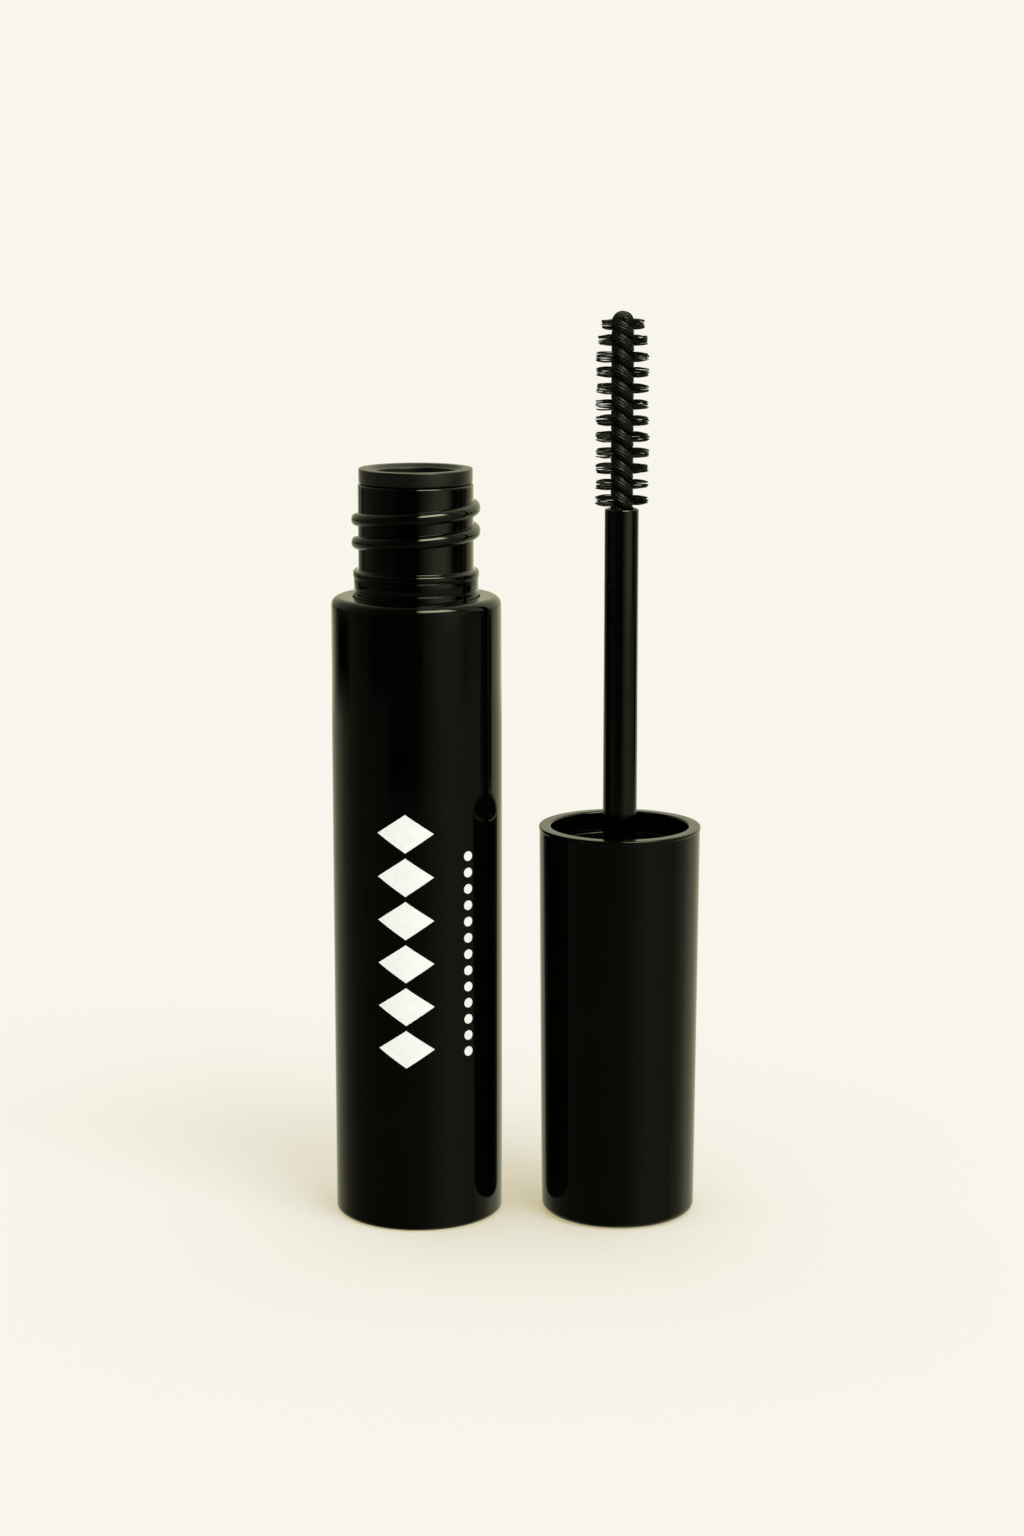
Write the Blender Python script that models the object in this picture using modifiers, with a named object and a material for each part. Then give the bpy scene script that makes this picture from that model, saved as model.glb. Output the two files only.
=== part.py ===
"""A mascara tube, opened: the tube stands on its base, and the cap stands upside down beside it with the wand up.

Metres, +Z up. The origin is the centre of the tube's base. The cap and wand share an upright axis at +X.
"""

import math

import bmesh
import bpy
from mathutils import Matrix, Vector

MM = 0.001
GAP = 0.3 * MM

# Tube: the shell and its shoulder
TUBE_RADIUS = 9.0 * MM
SHELL_WALL = 1.2 * MM
SHOULDER_HEIGHT = 67.0 * MM
SHOULDER_ROUND = 0.9 * MM
FOOT_ROUND = 1.1 * MM

# Tube: the inner bottle and its neck
BOTTLE_RADIUS = 7.4 * MM
BOTTLE_WALL = 1.2 * MM
COLLAR_RADIUS = 6.66 * MM
COLLAR_TOP = 69.8 * MM
NECK_RADIUS = 6.1 * MM
NECK_BORE = 4.9 * MM
NECK_TOP = 78.8 * MM

# The thread, right-handed, on the neck and inside the cap
PITCH = 2.42 * MM
NECK_BEAD = 0.72 * MM
NECK_BEAD_START_DEG = 100
NECK_BEAD_END_DEG = 790
NECK_BEAD_HEIGHT_AT_180 = 72.64 * MM
CAP_BEAD = 0.45 * MM
CAP_BEAD_START_DEG = -330
CAP_BEAD_END_DEG = 390
BEAD_POINTS_PER_TURN = 20

# Wiper
WIPER_TOP = 80.4 * MM
WIPER_FLANGE_RADIUS = 5.97 * MM
WIPER_FLANGE = 1.3 * MM
WIPER_WALL = 0.8 * MM
WIPER_ORIFICE = 2.1 * MM

# Cap and wand, on their own axis
CAP_AXIS_X = 21.53 * MM
CAP_HEIGHT = 42.4 * MM
CAP_MOUTH_RADIUS = 8.56 * MM
CAP_END_RADIUS = 8.25 * MM
CAP_MOUTH_BORE = 7.33 * MM
CAP_BORE = 7.75 * MM
CAP_LOWER_BORE = 7.0 * MM
CAP_LEDGE = 21.5 * MM
INNER_CAP_TOP = 40.2 * MM
INNER_CAP_RADIUS = 7.45 * MM
INNER_CAP_BORE = 6.95 * MM
INNER_CAP_FLOOR = 27.7 * MM
SOCKET_RADIUS = 3.0 * MM
SOCKET_TOP = 31.0 * MM
SOCKET_BOTTOM = 19.0 * MM
STEM_RADIUS = 1.8 * MM
STEM_TOP = 76.2 * MM
STEM_STOP_RADIUS = 2.4 * MM
SHANK_HOLE = 1.45 * MM
SHANK_DEPTH = 13.0 * MM

# Brush: a folded wire, twisted left-handed around the filaments
WIRE_RADIUS = 0.42 * MM
WIRE_OFFSET = 0.725 * MM
WIRE_BOTTOM = 64.1 * MM
WIRE_STRAIGHT_TOP = 95.5 * MM
TWIST_PITCH = 3.31 * MM
TOP_ROW = 95.3 * MM
BRISTLE_RADIUS = 2.9 * MM
BRISTLE_TIP_RADIUS = 2.3 * MM
BRISTLE_INNER = 1.3 * MM
BRISTLE_TOP = 95.6 * MM
BRISTLE_BOTTOM = 76.8 * MM
BRISTLE_TAPER = 4.0 * MM
TRIM_DEPTH = 1.25 * MM
ROW_HALF_HEIGHT = 0.36 * MM
FILAMENT_LAYER = 0.3 * MM

# With the cap screwed home, a height on the wand as it rests and the height it then has on the tube add up to this
CLOSED_SUM = SHOULDER_HEIGHT + GAP + CAP_HEIGHT

STEPS = 40
THIN_STEPS = 24
MERGE = 0.00001


def clear_scene():
    for old in list(bpy.data.objects):
        bpy.data.objects.remove(old, do_unlink=True)
    for old in list(bpy.data.collections):
        bpy.data.collections.remove(old)


def new_collection(name):
    made = bpy.data.collections.new(name)
    bpy.context.scene.collection.children.link(made)
    return made


def plastic(name, colour, roughness, metallic=0.0):
    made = bpy.data.materials.new(name)
    made.use_nodes = True
    shader = made.node_tree.nodes["Principled BSDF"]
    shader.inputs["Base Color"].default_value = (*colour, 1.0)
    shader.inputs["Roughness"].default_value = roughness
    shader.inputs["Metallic"].default_value = metallic
    made.diffuse_color = (*colour, 1.0)
    return made


def finish(obj, material, collection):
    obj.data.materials.clear()
    obj.data.materials.append(material)
    for user in list(obj.users_collection):
        user.objects.unlink(obj)
    collection.objects.link(obj)


def quarter(centre_x, centre_z, radius, start_deg, end_deg, points=4):
    """Points of a round from one angle to another, counted from +X towards +Z."""
    found = []
    for i in range(points + 1):
        angle = math.radians(start_deg + (end_deg - start_deg) * i / points)
        found.append((centre_x + radius * math.cos(angle), centre_z + radius * math.sin(angle)))
    return found


def turned(name, profile, material, collection, x=0.0, steps=STEPS, ring=True):
    """A profile of (radius, height) turned about the upright axis at x. A ring's profile closes on itself."""
    mesh = bpy.data.meshes.new(name)
    edges = [(i, i + 1) for i in range(len(profile) - 1)]
    if ring:
        edges.append((len(profile) - 1, 0))
    mesh.from_pydata([(r, 0.0, z) for r, z in profile], edges, [])
    obj = bpy.data.objects.new(name, mesh)
    obj.location = (x, 0.0, 0.0)
    finish(obj, material, collection)
    screw = obj.modifiers.new("Turn", "SCREW")
    screw.steps = steps
    screw.render_steps = steps
    screw.use_merge_vertices = True
    screw.merge_threshold = MERGE
    screw.use_smooth_shade = True
    return obj


def swept(name, points, radius, material, collection, sizes=None, resolution=1):
    """A round wire along points, made a mesh with its caps welded on."""
    curve = bpy.data.curves.new(name + "_path", "CURVE")
    curve.dimensions = "3D"
    curve.bevel_depth = radius
    curve.bevel_resolution = resolution
    curve.use_fill_caps = True
    line = curve.splines.new("POLY")
    line.points.add(len(points) - 1)
    for i, point in enumerate(points):
        line.points[i].co = (*point, 1.0)
        line.points[i].radius = sizes[i] if sizes else 1.0
    path = bpy.data.objects.new(name + "_path", curve)
    bpy.context.scene.collection.objects.link(path)
    evaluated = path.evaluated_get(bpy.context.evaluated_depsgraph_get())
    mesh = bpy.data.meshes.new_from_object(evaluated)
    obj = bpy.data.objects.new(name, mesh)
    obj.matrix_world = path.matrix_world
    bpy.data.objects.remove(path)
    shape = bmesh.new()
    shape.from_mesh(mesh)
    bmesh.ops.remove_doubles(shape, verts=shape.verts, dist=MERGE)
    bmesh.ops.recalc_face_normals(shape, faces=shape.faces)
    shape.to_mesh(mesh)
    shape.free()
    mesh.shade_smooth()
    finish(obj, material, collection)
    return obj


def thread_path(radius, start_deg, end_deg, height_at_zero, x=0.0):
    """Points of a right-handed thread, and sizes that shrink at its two ends."""
    run_out_deg = 40
    end_size = 0.25
    count = round((end_deg - start_deg) / 360 * BEAD_POINTS_PER_TURN)
    points = []
    sizes = []
    for i in range(count + 1):
        degrees = start_deg + (end_deg - start_deg) * i / count
        angle = math.radians(degrees)
        points.append(
            (x + radius * math.cos(angle), radius * math.sin(angle), height_at_zero + PITCH * degrees / 360)
        )
        from_end = min(degrees - start_deg, end_deg - degrees)
        sizes.append(end_size + (1 - end_size) * min(1.0, from_end / run_out_deg))
    return points, sizes


def join_bead(owner, bead, helpers):
    """Joins a thread's bead to the wall it grows from."""
    for user in list(bead.users_collection):
        user.objects.unlink(bead)
    helpers.objects.link(bead)
    bead.hide_render = True
    bead.display_type = "WIRE"
    union = owner.modifiers.new("Thread", "BOOLEAN")
    union.operation = "UNION"
    union.object = bead


def build_outer_shell(material, collection):
    inside = TUBE_RADIUS - SHELL_WALL
    under_shoulder = SHOULDER_HEIGHT - SHELL_WALL
    mouth = COLLAR_RADIUS + GAP
    profile = [(mouth, SHOULDER_HEIGHT)]
    profile += quarter(TUBE_RADIUS - SHOULDER_ROUND, SHOULDER_HEIGHT - SHOULDER_ROUND, SHOULDER_ROUND, 90, 0)
    profile += quarter(TUBE_RADIUS - FOOT_ROUND, FOOT_ROUND, FOOT_ROUND, 0, -80)
    profile += [(inside, 0.0), (inside, under_shoulder), (mouth, under_shoulder)]
    return turned("outer_shell", profile, material, collection)


def build_base_plug(material, collection):
    """A shallow cup that closes the shell, flush with its foot."""
    radius = TUBE_RADIUS - SHELL_WALL - GAP
    top = 2.2 * MM
    floor = 1.2 * MM
    chamfer = 0.3 * MM
    rim = radius - 1.0 * MM
    profile = [(0.0, floor), (rim, floor), (rim, top), (radius, top)]
    profile += [(radius, chamfer), (radius - chamfer, 0.0), (0.0, 0.0)]
    return turned("base_plug", profile, material, collection, ring=False)


def build_inner_bottle(material, collection, helpers):
    foot = 2.5 * MM
    floor = foot + BOTTLE_WALL
    bottle_bore = BOTTLE_RADIUS - BOTTLE_WALL
    shoulder = SHOULDER_HEIGHT - SHELL_WALL - GAP
    bead = 0.25 * MM
    edge = 0.3 * MM
    profile = [(NECK_BORE, NECK_TOP), (NECK_RADIUS - edge, NECK_TOP), (NECK_RADIUS, NECK_TOP - edge)]
    profile += [(NECK_RADIUS, COLLAR_TOP)]
    profile += quarter(COLLAR_RADIUS - bead, COLLAR_TOP - bead, bead, 90, -60, 4)
    profile += [(COLLAR_RADIUS - bead / 2, COLLAR_TOP - 4 * bead), (COLLAR_RADIUS - bead / 2, shoulder)]
    profile += [(BOTTLE_RADIUS - edge, shoulder), (BOTTLE_RADIUS, shoulder - edge)]
    profile += quarter(BOTTLE_RADIUS - 2 * edge, foot + 2 * edge, 2 * edge, 0, -90, 2)
    profile += [(0.0, foot)]
    inner = [(0.0, floor), (bottle_bore, floor), (bottle_bore, shoulder - 2.0 * MM), (NECK_BORE, shoulder)]
    bottle = turned("inner_bottle", inner + profile, material, collection, ring=False)
    height_at_zero = NECK_BEAD_HEIGHT_AT_180 - PITCH / 2
    points, sizes = thread_path(NECK_RADIUS, NECK_BEAD_START_DEG, NECK_BEAD_END_DEG, height_at_zero)
    join_bead(bottle, swept("neck_bead", points, NECK_BEAD, material, helpers, sizes), helpers)
    return bottle


def build_wiper(material, collection):
    """A flange that rests on the neck, a sleeve that hangs in its bore, and a funnel down to the orifice."""
    flange_under = WIPER_TOP - WIPER_FLANGE
    sleeve = NECK_BORE - GAP
    sleeve_bore = sleeve - WIPER_WALL
    cone_top = WIPER_TOP - 8.4 * MM
    cone_bottom = WIPER_TOP - 12.2 * MM
    lip = WIPER_TOP - 13.8 * MM
    edge = 0.12 * MM
    profile = [(sleeve, WIPER_TOP), (WIPER_FLANGE_RADIUS - edge, WIPER_TOP)]
    profile += [(WIPER_FLANGE_RADIUS, WIPER_TOP - edge), (WIPER_FLANGE_RADIUS, flange_under)]
    profile += [(sleeve, flange_under), (sleeve, cone_top), (WIPER_ORIFICE + WIPER_WALL, cone_bottom)]
    profile += [(WIPER_ORIFICE + WIPER_WALL, lip), (WIPER_ORIFICE, lip), (WIPER_ORIFICE, cone_bottom)]
    profile += [(sleeve_bore, cone_top), (sleeve_bore, WIPER_TOP - WIPER_WALL)]
    return turned("wiper", profile, material, collection)


def build_formula(material, collection):
    """The cream in the bottle, with the channel that the wand leaves in it."""
    bottom = 2.5 * MM + BOTTLE_WALL + GAP
    radius = BOTTLE_RADIUS - BOTTLE_WALL - GAP
    level = 54.0 * MM
    channel = BRISTLE_RADIUS + GAP
    channel_floor = 9.5 * MM
    profile = [(0.0, channel_floor), (channel, channel_floor + channel), (channel, level - 1.0 * MM)]
    profile += [(channel + 1.0 * MM, level), (radius, level), (radius, bottom), (0.0, bottom)]
    return turned("mascara_formula", profile, material, collection, steps=THIN_STEPS, ring=False)


def build_outer_cap(material, collection):
    end_round = 0.9 * MM
    floor = 1.6 * MM
    lip_under = INNER_CAP_TOP + 0.5 * MM
    edge = 0.12 * MM
    profile = [(0.0, floor), (CAP_LOWER_BORE, floor), (CAP_LOWER_BORE, CAP_LEDGE), (CAP_BORE, CAP_LEDGE)]
    profile += [(CAP_BORE, lip_under), (CAP_MOUTH_BORE, lip_under), (CAP_MOUTH_BORE, CAP_HEIGHT)]
    profile += [(CAP_MOUTH_RADIUS - edge, CAP_HEIGHT), (CAP_MOUTH_RADIUS, CAP_HEIGHT - edge)]
    profile += quarter(CAP_END_RADIUS - end_round, end_round, end_round, 0, -90)
    profile += [(0.0, 0.0)]
    return turned("outer_cap", profile, material, collection, CAP_AXIS_X, ring=False)


def build_inner_cap(material, collection, helpers):
    """A threaded skirt, a floor that carries the liner, and the socket that holds the stem."""
    floor_under = INNER_CAP_FLOOR - 1.5 * MM
    skirt_bottom = CAP_LEDGE + GAP
    lower_bore = INNER_CAP_RADIUS - 0.8 * MM
    hole = STEM_RADIUS + GAP
    hole_floor = SOCKET_BOTTOM + 1.5 * MM
    edge = 0.15 * MM
    profile = [(0.0, hole_floor), (hole, hole_floor), (hole, SOCKET_TOP), (SOCKET_RADIUS, SOCKET_TOP)]
    profile += [(SOCKET_RADIUS, INNER_CAP_FLOOR), (INNER_CAP_BORE, INNER_CAP_FLOOR)]
    profile += [(INNER_CAP_BORE, INNER_CAP_TOP), (INNER_CAP_RADIUS - edge, INNER_CAP_TOP)]
    profile += [(INNER_CAP_RADIUS, INNER_CAP_TOP - edge), (INNER_CAP_RADIUS, skirt_bottom)]
    profile += [(lower_bore, skirt_bottom), (lower_bore, floor_under), (SOCKET_RADIUS, floor_under)]
    profile += [(SOCKET_RADIUS, SOCKET_BOTTOM), (0.0, SOCKET_BOTTOM)]
    inner_cap = turned("inner_cap", profile, material, collection, CAP_AXIS_X, ring=False)
    # Screwed home, this thread lies half a pitch from the neck's at every angle.
    height_at_zero = CLOSED_SUM - NECK_BEAD_HEIGHT_AT_180 - PITCH / 2
    points, sizes = thread_path(
        INNER_CAP_BORE, CAP_BEAD_START_DEG, CAP_BEAD_END_DEG, height_at_zero, CAP_AXIS_X
    )
    join_bead(inner_cap, swept("cap_bead", points, CAP_BEAD, material, helpers, sizes), helpers)
    return inner_cap


def build_seal_liner(material, collection):
    bottom = INNER_CAP_FLOOR + GAP
    top = bottom + 1.0 * MM
    inner = SOCKET_RADIUS + 1.5 * GAP
    outer = WIPER_FLANGE_RADIUS + GAP
    profile = [(inner, top), (outer, top), (outer, bottom), (inner, bottom)]
    return turned("seal_liner", profile, material, collection, CAP_AXIS_X)


def build_stem(material, collection):
    """A rod with a stop that sits over the socket, and a blind hole in its tip for the wire's shank."""
    bottom = SOCKET_BOTTOM + 1.5 * MM + GAP
    stop_bottom = SOCKET_TOP + GAP
    stop_top = stop_bottom + 0.8 * MM
    tip_round = 0.35 * MM
    hole_floor = STEM_TOP - SHANK_DEPTH
    profile = [(0.0, hole_floor), (SHANK_HOLE, hole_floor), (SHANK_HOLE, STEM_TOP)]
    profile += quarter(STEM_RADIUS - tip_round, STEM_TOP - tip_round, tip_round, 90, 0, 3)[1:]
    profile += [(STEM_RADIUS, stop_top), (STEM_STOP_RADIUS, stop_top), (STEM_STOP_RADIUS, stop_bottom)]
    profile += [(STEM_RADIUS, stop_bottom), (STEM_RADIUS, bottom), (0.0, bottom)]
    return turned("stem", profile, material, collection, CAP_AXIS_X, THIN_STEPS, ring=False)


def twist_at(height):
    """Angle at which the filament layer lies at a height. It lies along X at the middle of each row."""
    return -2 * math.pi * (height - TOP_ROW) / TWIST_PITCH


def build_core_wire(material, collection):
    """One leg up, over the tip in a half circle, and the other leg down."""
    points_per_turn = 12
    count = round((WIRE_STRAIGHT_TOP - WIRE_BOTTOM) / TWIST_PITCH * points_per_turn)
    up = []
    down = []
    for i in range(count + 1):
        height = WIRE_BOTTOM + (WIRE_STRAIGHT_TOP - WIRE_BOTTOM) * i / count
        across = twist_at(height) + math.pi / 2
        x = WIRE_OFFSET * math.cos(across)
        y = WIRE_OFFSET * math.sin(across)
        up.append((CAP_AXIS_X + x, y, height))
        down.append((CAP_AXIS_X - x, -y, height))
    across = twist_at(WIRE_STRAIGHT_TOP) + math.pi / 2
    arch = []
    arch_parts = 6
    for i in range(1, arch_parts):
        turn = math.pi * i / arch_parts
        reach = WIRE_OFFSET * math.cos(turn)
        rise = WIRE_OFFSET * math.sin(turn)
        arch.append(
            (CAP_AXIS_X + reach * math.cos(across), reach * math.sin(across), WIRE_STRAIGHT_TOP + rise)
        )
    return swept("core_wire", up + arch + down[::-1], WIRE_RADIUS, material, collection)


def bristle_reach(height):
    """The brush's radius, which draws in over its last few rows at the tip."""
    into_taper = max(0.0, height - (BRISTLE_TOP - BRISTLE_TAPER)) / BRISTLE_TAPER
    return BRISTLE_RADIUS - (BRISTLE_RADIUS - BRISTLE_TIP_RADIUS) * into_taper**2


def bristle_outline():
    """The filaments cut level: a thin layer between the wires that fans out into a sector on each side."""
    fan = 2 * math.pi * ROW_HALF_HEIGHT / TWIST_PITCH
    half_layer = FILAMENT_LAYER / 2
    neck = math.sqrt(BRISTLE_INNER**2 - half_layer**2)
    layer_parts = 4
    side = [Vector((neck * i / layer_parts, -half_layer, 0.0)) for i in range(layer_parts + 1)]
    for radius, angle in (
        (BRISTLE_INNER, -fan),
        (BRISTLE_RADIUS, -fan),
        (BRISTLE_RADIUS, 0.0),
        (BRISTLE_RADIUS, fan),
        (BRISTLE_INNER, fan),
    ):
        side.append(Vector((radius * math.cos(angle), radius * math.sin(angle), 0.0)))
    side += [Vector((neck * i / layer_parts, half_layer, 0.0)) for i in range(layer_parts, 0, -1)]
    half_turn = Matrix.Rotation(math.pi, 3, "Z")
    return side + [half_turn @ point for point in side]


def trim_flat(brush, half_depth, helpers):
    """Cuts the filaments level with the wire at the front and back, so that they stand out to the sides only."""
    shape = bmesh.new()
    side = BRISTLE_RADIUS * 2.2
    size = Matrix.Diagonal((side, half_depth * 2, (BRISTLE_TOP - BRISTLE_BOTTOM) * 1.2, 1.0))
    bmesh.ops.create_cube(shape, size=1.0, matrix=size)
    mesh = bpy.data.meshes.new("trim")
    shape.to_mesh(mesh)
    shape.free()
    box = bpy.data.objects.new("trim", mesh)
    box.location = (CAP_AXIS_X, 0.0, (BRISTLE_TOP + BRISTLE_BOTTOM) / 2)
    box.hide_render = True
    helpers.objects.link(box)
    keep = brush.modifiers.new("Trim", "BOOLEAN")
    keep.operation = "INTERSECT"
    keep.object = box


def build_bristles(material, collection, helpers):
    """The level outline wound up the wire's twist, then trimmed."""
    steps_per_turn = 24
    height = BRISTLE_TOP - BRISTLE_BOTTOM
    steps = round(height / TWIST_PITCH * steps_per_turn)
    shape = bmesh.new()
    start = Matrix.Rotation(twist_at(BRISTLE_BOTTOM), 3, "Z")
    ring = [shape.verts.new(start @ point) for point in bristle_outline()]
    face = shape.faces.new(ring)
    bmesh.ops.spin(
        shape,
        geom=[face, *face.edges, *face.verts],
        axis=(0.0, 0.0, 1.0),
        cent=(0.0, 0.0, 0.0),
        dvec=(0.0, 0.0, height / steps),
        angle=-2 * math.pi * height / TWIST_PITCH,
        steps=steps,
    )
    for vert in shape.verts:
        level = Vector((vert.co.x, vert.co.y))
        if level.length > BRISTLE_INNER * 1.1:
            level *= bristle_reach(BRISTLE_BOTTOM + vert.co.z) / BRISTLE_RADIUS
            vert.co.x = level.x
            vert.co.y = level.y
    bmesh.ops.recalc_face_normals(shape, faces=shape.faces)
    mesh = bpy.data.meshes.new("bristles")
    shape.to_mesh(mesh)
    shape.free()
    obj = bpy.data.objects.new("bristles", mesh)
    obj.location = (CAP_AXIS_X, 0.0, BRISTLE_BOTTOM)
    finish(obj, material, collection)
    trim_flat(obj, TRIM_DEPTH, helpers)
    return obj


def main():
    clear_scene()
    parts = new_collection("mascara_tube")
    helpers = new_collection("cutters")
    gloss = plastic("gloss_black", (0.012, 0.012, 0.011), 0.12)
    satin = plastic("satin_black", (0.018, 0.018, 0.017), 0.35)
    soft = plastic("soft_black", (0.03, 0.03, 0.028), 0.6)
    cream = plastic("mascara_cream", (0.006, 0.006, 0.006), 0.4)
    foam = plastic("liner_foam", (0.75, 0.75, 0.72), 0.8)
    steel = plastic("coated_wire", (0.04, 0.04, 0.038), 0.4, 0.6)
    nylon = plastic("nylon_black", (0.015, 0.015, 0.014), 0.5)
    build_outer_shell(gloss, parts)
    build_base_plug(satin, parts)
    build_inner_bottle(gloss, parts, helpers)
    build_wiper(soft, parts)
    build_formula(cream, parts)
    # The cap and wand turn about this axis, and each piece's own origin lies on it.
    build_outer_cap(gloss, parts)
    build_inner_cap(satin, parts, helpers)
    build_seal_liner(foam, parts)
    build_stem(gloss, parts)
    build_core_wire(steel, parts)
    build_bristles(nylon, parts, helpers)


main()
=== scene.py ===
import math
import random

import bmesh
import bpy
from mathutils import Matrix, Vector


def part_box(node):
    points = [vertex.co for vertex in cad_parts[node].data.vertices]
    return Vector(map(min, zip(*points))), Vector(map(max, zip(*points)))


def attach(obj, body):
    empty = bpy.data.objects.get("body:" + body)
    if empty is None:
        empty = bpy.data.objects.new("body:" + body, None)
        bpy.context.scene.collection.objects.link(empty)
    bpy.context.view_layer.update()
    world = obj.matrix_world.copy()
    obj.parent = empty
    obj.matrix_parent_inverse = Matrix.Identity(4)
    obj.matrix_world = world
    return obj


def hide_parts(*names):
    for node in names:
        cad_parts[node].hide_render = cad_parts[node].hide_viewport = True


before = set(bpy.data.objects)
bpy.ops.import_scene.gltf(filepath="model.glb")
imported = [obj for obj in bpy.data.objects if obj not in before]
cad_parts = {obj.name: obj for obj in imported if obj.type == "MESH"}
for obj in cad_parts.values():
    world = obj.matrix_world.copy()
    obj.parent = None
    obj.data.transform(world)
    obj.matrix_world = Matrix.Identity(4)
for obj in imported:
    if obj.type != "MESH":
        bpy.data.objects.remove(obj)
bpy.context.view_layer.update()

MM = 0.001

# Places and sizes read from the frame
SHELL_LOW, SHELL_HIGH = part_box("outer_shell")
BOTTLE_LOW, BOTTLE_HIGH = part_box("inner_bottle")
WIPER_LOW, WIPER_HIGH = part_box("wiper")
PLUG_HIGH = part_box("base_plug")[1]
CREAM_LOW, CREAM_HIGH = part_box("mascara_formula")
CAP_LOW, CAP_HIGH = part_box("outer_cap")
INNER_LOW, INNER_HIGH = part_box("inner_cap")
LINER_LOW, LINER_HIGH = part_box("seal_liner")
STEM_LOW, STEM_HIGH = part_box("stem")
WIRE_LOW, WIRE_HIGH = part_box("core_wire")
BRUSH_LOW, BRUSH_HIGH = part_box("bristles")

TUBE_X = (SHELL_LOW.x + SHELL_HIGH.x) / 2
WAND_X = (CAP_LOW.x + CAP_HIGH.x) / 2
TUBE_RADIUS = SHELL_HIGH.x - TUBE_X
SHOULDER = SHELL_HIGH.z
WIPER_TOP = WIPER_HIGH.z
FLANGE_RADIUS = WIPER_HIGH.x - TUBE_X
NECK_TOP = BOTTLE_HIGH.z
NECK_RADIUS = FLANGE_RADIUS + 0.13 * MM
COLLAR_RADIUS = NECK_RADIUS + 0.56 * MM
COLLAR_TOP = SHOULDER + 2.8 * MM
NECK_BORE = NECK_RADIUS - 1.2 * MM
BOTTLE_RADIUS = BOTTLE_HIGH.x - TUBE_X
WALL = 1.2 * MM
CLEAR = 0.3 * MM

CAP_TOP = CAP_HIGH.z
CAP_RADIUS = CAP_HIGH.x - WAND_X
CAP_END_RADIUS = CAP_RADIUS - 0.31 * MM
CAP_MOUTH = CAP_RADIUS - 1.23 * MM
INNER_TOP = INNER_HIGH.z
INNER_RADIUS = INNER_HIGH.x - WAND_X
INNER_BORE = INNER_RADIUS - 0.5 * MM
LINER_TOP = LINER_HIGH.z
STEM_TOP = STEM_HIGH.z
STEM_RADIUS = 1.8 * MM
STEM_STOP_RADIUS = STEM_HIGH.x - WAND_X
SOCKET_RADIUS = 3.0 * MM
BRUSH_RADIUS = BRUSH_HIGH.x - WAND_X
CORE_RADIUS = WIRE_HIGH.x - WAND_X
TIP_TOP = WIRE_HIGH.z

# The thread, right-handed. Starts and ends are in degrees round the axis.
PITCH = 2.42 * MM
BEAD = 0.72 * MM
BEAD_START, BEAD_END = 100, 790
BEAD_HEIGHT_AT_180 = WIPER_TOP - 7.76 * MM
CAP_BEAD = 0.45 * MM
CAP_BEAD_START, CAP_BEAD_END = -330, 390
CLOSED_SUM = SHOULDER + CLEAR + CAP_TOP

# The twist of wire and filaments, left-handed
TWIST = 3.31 * MM
TOP_ROW = TIP_TOP - 1.35 * MM

# Sides of a turned piece
FINE = 192
random.seed(7)


# ---------------------------------------------------------------- mesh tools


def rounded(corners, closed=True, parts=7):
    """Points of an outline of (radius, height, round) corners, each round an exact arc."""
    points = []
    count = len(corners)
    for i, (r, z, size) in enumerate(corners):
        here = Vector((r, z))
        at_end = not closed and i in (0, count - 1)
        if size <= 0 or at_end:
            points.append(here)
            continue
        before = Vector(corners[i - 1][:2]) - here
        after = Vector(corners[(i + 1) % count][:2]) - here
        half = before.angle(after) / 2
        run = min(size / math.tan(half), before.length * 0.49, after.length * 0.49)
        first = here + before.normalized() * run
        last = here + after.normalized() * run
        weight = math.sin(half)
        for k in range(parts + 1):
            t = k / parts
            a, b, c = (1 - t) ** 2, 2 * t * (1 - t) * weight, t**2
            points.append((first * a + here * b + last * c) / (a + b + c))
    return points


def new_object(name, mesh):
    obj = bpy.data.objects.new(name, mesh)
    bpy.context.scene.collection.objects.link(obj)
    return obj


def smooth(obj, sharp_deg=40):
    """Shades smoothly across every edge that bends less than sharp_deg."""
    obj.data.shade_smooth()
    obj.data.set_sharp_from_angle(angle=math.radians(sharp_deg))
    weigh = obj.modifiers.new("Even normals", "WEIGHTED_NORMAL")
    weigh.keep_sharp = True
    return obj


def outward(obj):
    """Turns every face of a closed mesh outwards."""
    shape = bmesh.new()
    shape.from_mesh(obj.data)
    bmesh.ops.recalc_face_normals(shape, faces=shape.faces)
    shape.to_mesh(obj.data)
    shape.free()


def turned(name, corners, x, closed=True, steps=FINE, parts=7):
    """A rounded outline turned about the upright axis at x. Open outlines start and end on the axis."""
    outline = rounded(corners, closed, parts)
    verts = []
    rings = []
    for point in outline:
        if point.x < 1e-7:
            verts.append((x, 0.0, point.y))
            rings.append([len(verts) - 1])
            continue
        rings.append(list(range(len(verts), len(verts) + steps)))
        for k in range(steps):
            angle = 2 * math.pi * k / steps
            verts.append((x + point.x * math.cos(angle), point.x * math.sin(angle), point.y))
    pairs = list(zip(rings, rings[1:]))
    if closed:
        pairs.append((rings[-1], rings[0]))
    faces = []
    for one, two in pairs:
        for k in range(steps):
            n = (k + 1) % steps
            if len(one) == 1 and len(two) == 1:
                continue
            if len(one) == 1:
                faces.append((one[0], two[k], two[n]))
            elif len(two) == 1:
                faces.append((one[k], two[0], one[n]))
            else:
                faces.append((one[k], two[k], two[n], one[n]))
    mesh = bpy.data.meshes.new(name)
    mesh.from_pydata(verts, [], faces)
    obj = new_object(name, mesh)
    outward(obj)
    return obj


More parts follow.
